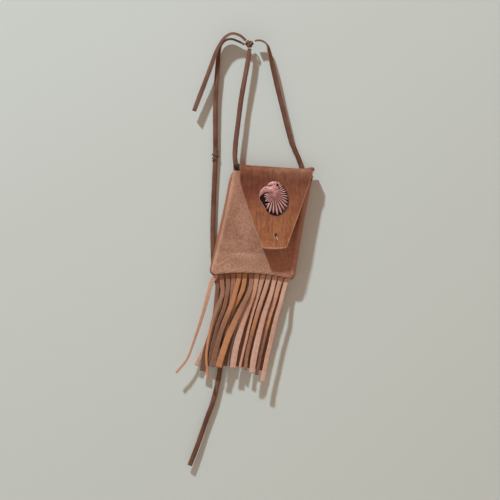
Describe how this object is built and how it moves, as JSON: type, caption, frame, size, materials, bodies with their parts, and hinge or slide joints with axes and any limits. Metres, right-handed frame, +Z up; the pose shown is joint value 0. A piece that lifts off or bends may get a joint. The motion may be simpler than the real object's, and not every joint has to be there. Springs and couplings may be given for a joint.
{
  "type": "medicine bag",
  "caption": "Small fringed leather medicine bag with a folded flap, a cast eagle head button and a knotted leather neck lace, hanging from a peg.",
  "frame": {"origin": "where the crown of the neck lace rests on the peg that holds the bag", "axes": "+Z up, the bag's front faces -Y, +X to the right of a viewer in front"},
  "size_m": [0.1378, 0.0251, 0.4343],
  "materials": {
    "tan_leather": "soft tan grain leather, matt",
    "flap_leather": "orange-brown leather with drawn fibre streaks, matt",
    "fringe_leather": "pale cut leather strands, varied tan to brown",
    "lace_leather": "brown cut lace with paler raw edges",
    "cast_copper": "dusty pink cast copper, dark in its recesses"
  },
  "bodies": {
    "pouch": {"pouch_front": "tan_leather", "pouch_back": "flap_leather", "fringe_front": "fringe_leather", "fringe_back": "fringe_leather", "neck_lace": "lace_leather", "lace_tail_short": "lace_leather", "lace_tail_long": "lace_leather", "lace_knot": "lace_leather", "lace_tie": "lace_leather"},
    "flap": {"flap": "flap_leather", "eagle_button": "cast_copper"}
  },
  "joints": [
    {"name": "flap_hinge", "type": "hinge", "parent": "pouch", "child": "flap", "pos_m": [0.0174, -0.0011, -0.12481], "axis": [-0.9986, 0, 0.0523], "range_deg": [0, 150]}
  ]
}
